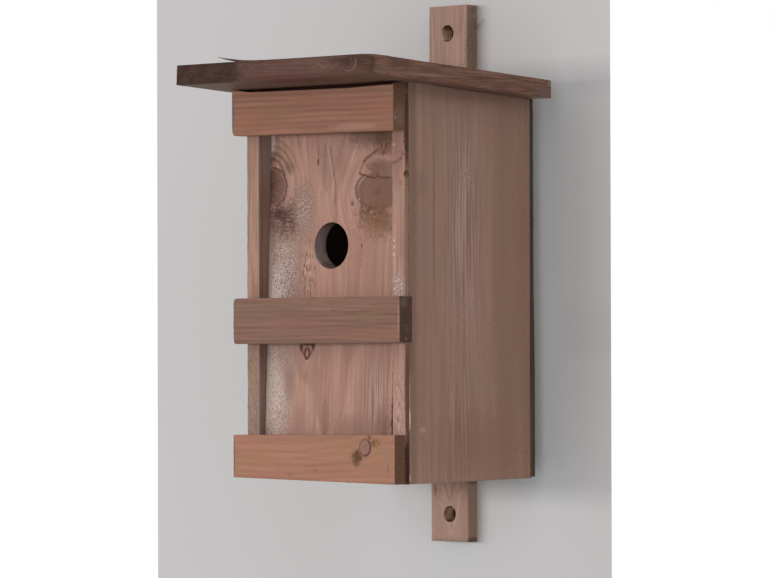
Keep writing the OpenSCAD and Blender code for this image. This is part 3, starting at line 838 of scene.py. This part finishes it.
BOTTOM_MARKS = (
    Knot(*BATTEN_KNOT, 0x8A665B, 0x78544B, 0.9, 0.1),
    bottom(45, -128.6, 6.6, 6, 0x6C4B34, 0.9, 0x583A29, (0.5, 0.2, 0.4), 0.7),
    bottom(43.8, -132.5, 3.4, 4.4, 0x70503A, 0.85, core=0.3),
    bottom(61.8, -118.8, 6.6, 4.2, 0x66442C, 0.9, 0x9E7256, (0.7, 0.2, 0.3), 0.5, 0.2),
    bottom(56.4, -114.8, 2.6, 2.2, 0x70463A, 0.85),
    bottom(73, -126, 7, 16, 0x967264, 0.55, core=0.1),
    bottom(5.2, -138.4, 3.2, 1.3, 0x825446, 0.75, core=0.1),
    bottom(-19, -142, 4.2, 1.4, 0x8C5A48, 0.7, core=0.1),
    Patch((-74.2, -158, -130), (1.8, 6, 17), 0x70544C, 0.8, core=0.5, ragged=0.2),
    bottom(-10, -116, 90, 2.6, 0x926856, 0.4),
    Patch((84, -152, -130), (10, 4, 30), 0x5C3C2E, 0.35),
    Arc(*BATTEN_KNOT, (1, 0, -0.3), 75, 1.5, 0x54342E, 0.9),
    Arc(*BATTEN_KNOT, (-1, 0, 0.3), 110, 1.1, 0x6C4E44, 0.8),
    Arc((52.4, -158, -121.9), (3.6, 30, 4.2), (0, 0, 1), 178, 0.8, 0xA07C70, 0.3),
    Line(at_depth(-158, (46, -126), (44.6, -130), (43.6, -133.4)), 1.4, 0x5C3C28, 0.6),
    Line(at_depth(-158, (73.8, -133), (74.4, -139)), 0.8, 0x6C4A3E, 0.7),
    Line(at_depth(-158, (-34, -145.6), (-30, -145.8)), 0.8, 0x604234, 0.7),
    Line(at_depth(-158, (36, -146.2), (37.4, -146.4)), 1.1, 0x5C342A, 0.8),
)
BATTEN_BOTTOM = timber(
    "bottom_batten_pine", "x", 0xA2735F, 0x906350, 0x704A37, (0, -190, -90),
    ring_mm=4.2, rings=0.4, fibre=0.12, fibre_mm=1.2, streak=0.06, blush=0xA66E5B,
    ash=0x9A7657, mottle=0.6, seed=7, arris=0x7A6256, wear=0.6, marks=BOTTOM_MARKS,
)
ROOF_MARKS = (
    Knot((77.5, -201, 140.6), (6.2, 30, 5.4), 0x523C2F, 0x402A22, 0.8, 0.2),
    Patch((20, -190, 131), (52, 22, 3.2), 0x5A3228, 0.7, core=0.3),
    roof_edge(34, 141, 60, 7, 0x543830, 0.6, 0x6C4F46, (0.05, 0.1, 0.9), 0.5),
    roof_edge(76, 143, 26, 6, 0x382119, 0.88, 0x583C2F, (0.35, 0.1, 0.6), 0.5, 0.3, (0.46, 0.7)),
    roof_edge(72, 135, 20, 2.4, 0x54362C, 0.6),
    Patch((97.3, -203, 140), (16, 12, 9), 0x3E281E, 0.9, 0x523A2C, (0.1, 0.1, 0.9), 0.4, 0.35),
    roof_edge(-66, 140, 44, 18, 0x311B16, 0.95, 0x422C22, (0.12, 0.1, 0.3), 0.3, 0.8),
    roof_edge(-19, 142, 13, 7, 0x62483E, 0.8, 0x4C322A, (0.35, 0.1, 0.35), 0.5, 0.2),
    roof_edge(12, 133.5, 64, 1.6, 0x4A2620, 0.5),
    roof_edge(46, 145, 40, 2, 0x624C3C, 0.5),
    roof_edge(52, 140, 18, 5, 0x5C3E34, 0.6, 0x74584C, (0.3, 0.1, 0.5), 0.5, 0.1),
    roof_edge(87, 141, 3, 4, 0x422A22, 0.8, core=0.3),
    Patch((97, -188, 138), (3, 14, 10), 0x7A5C4C, 0.5, core=0.1),
    Patch((97.3, -12.4, 134.2), (3, 1.8, 3.4), 0x807E84, 0.45),
    Patch((97.3, -18, 127), (3, 9, 6), 0x64504E, 0.6, core=0.2),
    Patch((97, -60, 138), (5, 90, 2), 0x7E6052, 0.5, core=0.2),
    Patch((97, -150, 134), (5, 60, 1.6), 0x86685C, 0.5, core=0.2),
    Patch((97, -100, 130), (5, 110, 1.6), 0x624032, 0.6, core=0.2),
    Arc((77.5, -201, 140.6), (6.4, 30, 5.6), (0.8, 0, -0.8), 75, 1, 0x765C4E, 0.5),
    Arc((77.5, -201, 140.6), (3.2, 30, 3), (1, 0, 0.3), 60, 0.8, 0x705648, 0.35),
    Line(at_depth(-201, (60, 137.6), (69, 141)), 0.7, 0x785E50, 0.35),
    Line(at_depth(-201, (-30, 145.6), (60, 145.6)), 0.7, 0x4C362D, 0.5),
)
ROOF = timber(
    "roof_timber", "x", 0x6F4E40, 0x593B2F, 0x795443, (0, -112, 40),
    ring_mm=2.4, rings=0.6, fibre=0.22, fibre_mm=1, streak=0.1, blush=0x6A463A,
    ash=0x644F3D, seed=8, arris=0x705C54, wear=0.3, wobble=5,
    end_grain=(0.9, 0.035, 0.8),
    faces=(Face((0, -1, 0), 0x54382F, 0.75), Face((0, 0, -1), 0x60493B, 0.6)), marks=ROOF_MARKS,
)
LATH_MARKS = (
    lath_face(-16.8, 176, 2.4, 30, 0x88786A, 0.6, core=0.2),
    lath_face(16.6, 176, 1.6, 30, 0xAC9281, 0.6, core=0.2),
    lath_face(-13.8, -157, 1.8, 7, 0x644C40, 0.85, core=0.2),
    Patch((0, -8, 146), (24, 8, 5), 0x705446, 0.5, core=0.2),
    Patch((18, -5, 166), (3, 9, 34), 0x5C4637, 0.7, 0x705848, (0.2, 0.3, 0.12), 0.5, 0.3),
    Patch((17.6, -5, 190), (2, 6, 5), 0x4C382C, 0.75),
    # Dark top of the lath's side just under the box: painted shadow
    Patch((17.6, -5, -150), (2, 8, 4), 0x4C3A2E, 0.7),
    # Paler lower lath below the box: painted light that lifts the box's shadow
    lath_face(0, -176, 26, 34, 0xB69686, 0.5, core=0.2),
    lath_face(0, -193.4, 26, 2.2, 0x88786A, 0.65, ragged=0.6),
    Patch((17.6, -5, -193), (2, 8, 3.4), 0x483A2E, 0.85),
    Patch((17.6, -8, -173), (1.6, 3, 14), 0x7C5C4C, 0.6, core=0.2),
    Line(at_depth(-10.5, (-9.4, -166), (-4, -174), (0.7, -188)), 2, 0xB69888, 0.45),
    Line(at_depth(-10.5, (10.6, -158), (8.4, -168), (2.7, -188)), 2, 0xBA9C88, 0.55),
    Line(at_depth(-10.5, (-6, -150), (0, -164), (5, -150)), 1.6, 0x866A5E, 0.5),
    Line(at_depth(-10.5, (-3, 150), (-1.5, 190)), 1.6, 0x94766C, 0.4),
)
LATH = timber(
    "lath_timber", "z", 0xA68677, 0x907163, 0x785F50, (6, -58, 40),
    ring_mm=3.8, fibre=0.18, streak=0.08, blush=0x9E796B,
    ash=0x98816F, seed=9, arris=0x88786A, wobble=12,
    faces=(Face((1, 0, 0), 0x6E5847, 0.8), Face((-1, 0, 0), 0x765E4E, 0.7)), marks=LATH_MARKS,
)
BACK = timber(
    "back_timber", "z", 0x6E5A4C, 0x564337, 0x544336, (0, -120, 0),
    ring_mm=4.5, fibre=0.22, blush=0x664D3D, ash=0x706254,
    seed=10, arris=0x584C42, wear=0.4,
    faces=(Face((1, 0, 0), 0x2F2620, 0.95), Face((-1, 0, 0), 0x3E332B, 0.9)),
)
FLOOR = timber(
    "floor_pine", "x", 0x9C7B6A, 0x866556, 0x785848, (0, -75, -220),
    ring_mm=5, fibre=0.18, blush=0x966F60, ash=0x927A66,
    seed=11, arris=0x8C7668,
)
BORE = timber(
    "bored_pine", "z", 0xA68E86, 0x887068, 0x90786D, (4, -60, 0),
    ring_mm=3, fibre=0.25, fibre_mm=0.7, blush=0xA08C8E, ash=0x786254,
    mottle=0.6, seed=12, arris=0x967C70, wear=0.3,
    marks=(
        Patch((1.6, -137, 36), (13, 14, 4.5), 0x605032, 0.9, 0x3C2C20, (0.5, 0.5, 0.5), 0.5),
        Patch((1.6, -137, 6), (13, 14, 6), 0x766054, 0.85),
    ),
)
LATH_BORE = timber(
    "bored_lath", "z", 0xE6C4A6, 0xC49E84, 0x705644, (6, -58, 40),
    ring_mm=3, fibre=0.35, fibre_mm=0.7, blush=0xCEA488, ash=0xE2C8A4,
    mottle=0.7, seed=13, arris=0x8C705E, wear=0.3,
    marks=(
        # Darker top of the upper hole's bore: painted shade
        Patch((-3, -5, 179), (8, 12, 3.4), 0x543C2E, 0.75),
        Patch((-5, -9, -172), (3, 4, 5), 0x604234, 0.6),
    ),
)


# Boards
ENTRANCE_MM = (1.6, -131.02, 19.0)
BEHIND_FRONT_Y = -131
LATH_HALF_WIDTH = 17.75


def ripple_hollow(at):
    """The torn, rippled grain below the front board's left knot."""
    near = np.hypot((at[:, 0] + 46) / 19, (at[:, 2] - 40) / 20)
    near = np.clip(1.6 * (1 - near), 0, 1) * (at[:, 1] < BEHIND_FRONT_Y)
    return 0.45 * near * noise(at, (7, 9, 2.4), 31)


def front_hollows(at):
    """Slight relief below the left knot and in the rough left third."""
    outside = at[:, 1] < BEHIND_FRONT_Y
    rough = np.clip((-26 - at[:, 0]) / 12, 0, 1) * (at[:, 2] < 52)
    return outside * (ripple_hollow(at) + 0.22 * rough * noise(at, (2.2, 9, 3.0), 33))


def rise_over(value, start, length):
    """A smooth rise from 0 to 1 that begins at start and takes the given length."""
    t = np.clip((value - start) / length, 0, 1)
    return t * t * (3 - 2 * t)


def roof_shape(points):
    """The sawn roof board is a little thicker towards its front edge."""
    below_top = rise_over(-points[:, 2], -146.0, 12.0)
    thicker = 1.15 - 0.55 * rise_over(points[:, 0], 36.0, 44.0)
    points[:, 2] -= thicker * below_top * rise_over(-points[:, 1], 106.0, 40.0)
    return points


def top_batten_shape(points):
    """The top batten's upper edge is planed hollow between its ends."""
    across = points[:, 0]
    hollow = 1.8 * rise_over(across, -72.0, 18.0) - 1.2 * rise_over(across, 30.0, 48.0)
    points[:, 2] -= hollow * rise_over(points[:, 2], 112.0, 17.0)
    return points


def back_shape(points):
    """The thin panel sits a little askew and stands out at its right edge near the foot."""
    points[:, 0] += rise_over(points[:, 0], 60.0, 20.0) * rise_over(-points[:, 2], -10.0, 90.0)
    return points


def lath_shape(points):
    """The lath was sawn slightly wider and thicker at its upper end."""
    upper = rise_over(points[:, 2], 138.0, 16.0)
    points[:, 0] += upper * (0.7 + 0.5 * points[:, 0] / LATH_HALF_WIDTH)
    points[:, 1] *= 1 + 0.12 * upper
    return points


board("front_board", PINE_FRONT, "z", radius=0.6, step=1.5, relief=0.14,
      seed=11, carve=front_hollows)
drill(bpy.data.objects["front_board_wood"], BORE, ENTRANCE_MM, (0, 1, 0.034),
      radius=16.0, length=12.6, flare=0.4, seed=71)
board("left_side", PINE_SIDE, "z", step=2.4, seed=12)
board("right_side", PINE_SIDE, "z", step=1.9, seed=13)
board("left_face_strip", PINE_LEFT_STRIP, "z", radius=0.7, seed=14, ragged=0.9)
board("right_face_strip", PINE_RIGHT_STRIP, "z", radius=0.7, seed=15, ragged=1.0)
board("top_batten", BATTEN_TOP, "x", radius=0.7, step=1.4, seed=16, ragged=0.8,
      chips=(Chip((-74.2, -159, 97.2), 5, 1.8),), shape=top_batten_shape)
board("middle_batten", BATTEN_MIDDLE, "x", radius=0.7, step=1.4, seed=17, ragged=0.8,
      chips=(Chip((-72.0, -160.3, -17.8), 5, 1.7), Chip((-72.0, -160.3, -49.8), 5, 1.5)))
board("bottom_batten", BATTEN_BOTTOM, "x", step=1.4, seed=18, ragged=1.0,
      slivers=(Sliver((-73.8, -156, -129), (-75.6, -156.5, -135), 2.2, 1.0, 0.4),))
board("floor_board", FLOOR, "x", step=2.6, seed=19)
board("back_panel", BACK, "z", radius=0.6, step=2.4, seed=20, ragged=0.8,
      slivers=(Sliver((79.0, -11.6, 35.2), (84.6, -12.4, 36.4), 1.6, 0.7, 0.4),),
      shape=back_shape)
board("roof_board", ROOF, "x", radius=0.7, step=2.2, seed=21, ragged=0.9,
      relief=0.15, chips=(Chip((97.35, -201, 146.4), 11, 2.6),), shape=roof_shape,
      slivers=(Sliver((-4.0, -199.4, 144.9), (-47.6, -200.6, 150.2), 3.6, 3.0, -1.1),))
board("hanging_lath", LATH, "z", radius=0.7, step=1.7, seed=22, ragged=0.8,
      shape=lath_shape,
      slivers=(Sliver((17.4, -2.0, 175.0), (28.0, -2.4, 184.0), 2.0, 1.4, 0.7),
               Sliver((20.4, -2.1, 177.8), (19.0, -2.5, 183.4), 1.0, 0.8, 0.3)))
for end in (-1, 1):
    drill(bpy.data.objects["hanging_lath_wood"], LATH_BORE, (0, -5.25, end * LATH_HOLE_Z),
          (0, 1, 0), radius=5.6, length=10.9, flare=0.2, seed=80 + end, fray=0.3, around=64,
          splinters=True)


# Fixings: dull steel heads behind and above, stained-over brads at the sides
def steel(name, colour, rust, seed):
    g = Graph(bpy.data.materials.new(name))
    spots = g.texture((0.9, 0.9, 0.9), seed, detail=3.0, roughness=0.7)
    fine = g.texture((4.0, 4.0, 4.0), seed)
    colour = g.mix(g.step(spots, 0.45, 0.65), linear(colour), linear(rust))
    bump = g.add("ShaderNodeBump", {"Height": fine, "Strength": 0.4, "Distance": 0.1 * MM})
    return g.finish(g.add("ShaderNodeBsdfPrincipled", {
        "Base Color": colour,
        "Metallic": 0.85,
        "Roughness": g.math("MULTIPLY_ADD", fine, 0.25, 0.35),
        "Normal": bump.outputs[0],
    }))


DULL_STEEL = steel("dull_steel", 0x8C8680, 0x684632, 1)
for name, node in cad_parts.items():
    if any(word in name for word in HEADED):
        look = DULL_STEEL
    elif "brads" in name:
        look = PINE_SIDE
    else:
        continue
    node.data.materials.clear()
    node.data.materials.append(look)


# Stage: a strip of wall behind the box, dark discs of painted shade behind the lath's holes, a pale
# floor well below, soft light
WALL_X = (-311.2, 142.2)
WALL_Z = (-1300, 900)
WALL_GAP = 0.5
WALL_COLOUR = 0xC5C2C1
# Painted light on the wall: paler, cooler paint that lifts the box's shadow beside its right side and
# around the lath's foot; centre, reach across, reach up and down, colour
WALL_PAINTED_LIGHT = (
    ((74, 0, -12), (0, 46), (125, 162), 0xD2D5D5),
    ((0, 0, -172), (0, 165), (0, 125), 0xD1D0D0),
)
# Dark discs of painted shade behind the lath's holes: depth, radius, colour
SHADE_Y = 0.35
SHADE_RADIUS = 8.0
SHADE_COLOUR = 0x64473A
FLOOR_Z = -1300
FLOOR_REACH = 5000
FLOOR_COLOUR = 0xDEDCD9


def sheet(name, corners_mm, material):
    made = make_object(name, corners_mm, [tuple(range(len(corners_mm)))], material, smooth=False)
    made.visible_diffuse = False
    made.visible_glossy = False
    made.visible_shadow = False
    return made


def plaster(name, colour, see_through_behind, painted_lifts=()):
    """Flat paint; the painted lifts are painted light: where the box's shadow falls beside and below
    it, the wall is painted paler and cooler.
    """
    g = Graph(bpy.data.materials.new(name))
    colour = linear(colour)
    for centre, widths, heights, tint in painted_lifts:
        from_centre = g.vector("SUBTRACT", g.scaled(g.place, 1 / MM), centre)
        away = g.add("ShaderNodeSeparateXYZ", {0: g.vector("ABSOLUTE", from_centre)}).outputs
        beside = g.step(away["X"], *widths, 1.0, 0.0)
        along = g.step(away["Z"], *heights, 1.0, 0.0)
        colour = g.mix(g.times(beside, along), colour, linear(tint))
    shader = g.add("ShaderNodeBsdfDiffuse", {"Color": colour})
    if see_through_behind:
        behind = g.add("ShaderNodeNewGeometry").outputs["Backfacing"]
        clear = g.add("ShaderNodeBsdfTransparent")
        shader = g.add("ShaderNodeMixShader",
                       {0: behind, 1: shader.outputs[0], 2: clear.outputs[0]})
    return g.finish(shader)


def make_stage():
    (left, right), (low, high) = WALL_X, WALL_Z
    sheet("wall", [(left, WALL_GAP, low), (right, WALL_GAP, low), (right, WALL_GAP, high),
                   (left, WALL_GAP, high)], plaster("wall_paint", WALL_COLOUR, True, WALL_PAINTED_LIGHT))
    turns = [2 * math.pi * i / 32 for i in range(32)]
    # Painted shade: dark discs behind the lath's two holes, which also block light from behind
    for end in (-1, 1):
        disc = [(SHADE_RADIUS * math.cos(turn), SHADE_Y,
                 end * LATH_HOLE_Z + SHADE_RADIUS * math.sin(turn)) for turn in turns]
        shade = sheet("hole_shade", disc, plaster("painted_hole_shade", SHADE_COLOUR, True))
        shade.visible_diffuse = True
        shade.visible_shadow = True
    r = FLOOR_REACH
    sheet("ground", [(-r, -r, FLOOR_Z), (r, -r, FLOOR_Z), (r, r, FLOOR_Z), (-r, r, FLOOR_Z)],
          plaster("pale_floor", FLOOR_COLOUR, False))


AMBIENT = 0.72
AMBIENT_RISE = 0.27
AMBIENT_RIGHT = 0.1
AMBIENT_COLOUR = (0.975, 1.0, 1.025, 1.0)
KEY_AZIMUTH = math.radians(-25)
KEY_RISE = math.radians(2.5)
KEY_COLOUR = (1.0, 0.98, 0.96)
KEY_AWAY = 5.0
KEY_WIDTH = 3.9
KEY_HEIGHT = 0.5
KEY_POWER = 92


def make_lights():
    world = bpy.data.worlds.new("studio")
    bpy.context.scene.world = world
    g = Graph(world)
    slope = g.vector("DOT_PRODUCT", g.coordinates["Generated"], (AMBIENT_RIGHT, 0, AMBIENT_RISE))
    soft = g.add("ShaderNodeBackground",
                 {"Color": AMBIENT_COLOUR, "Strength": g.math("ADD", slope, AMBIENT)})
    white = g.add("ShaderNodeBackground", {"Color": (1, 1, 1, 1)})
    rays = g.add("ShaderNodeLightPath").outputs
    seen = g.math("MAXIMUM", rays["Is Camera Ray"], rays["Is Transmission Ray"])
    seen = g.math("MAXIMUM", rays["Is Glossy Ray"], seen)
    g.finish(g.add("ShaderNodeMixShader", {0: seen, 1: soft.outputs[0], 2: white.outputs[0]}),
             "ShaderNodeOutputWorld")

    data = bpy.data.lights.new("key", "AREA")
    data.shape = "RECTANGLE"
    data.size = KEY_WIDTH
    data.size_y = KEY_HEIGHT
    data.energy = KEY_POWER
    data.color = KEY_COLOUR
    key = add_object("key", data)
    away = direction(KEY_AZIMUTH, KEY_RISE)
    key.location = away * KEY_AWAY
    key.rotation_mode = "QUATERNION"
    key.rotation_quaternion = (-away).to_track_quat("-Z", "Y")
    key.visible_camera = False


make_camera()
make_stage()
make_lights()
bpy.context.scene.view_settings.view_transform = "Standard"
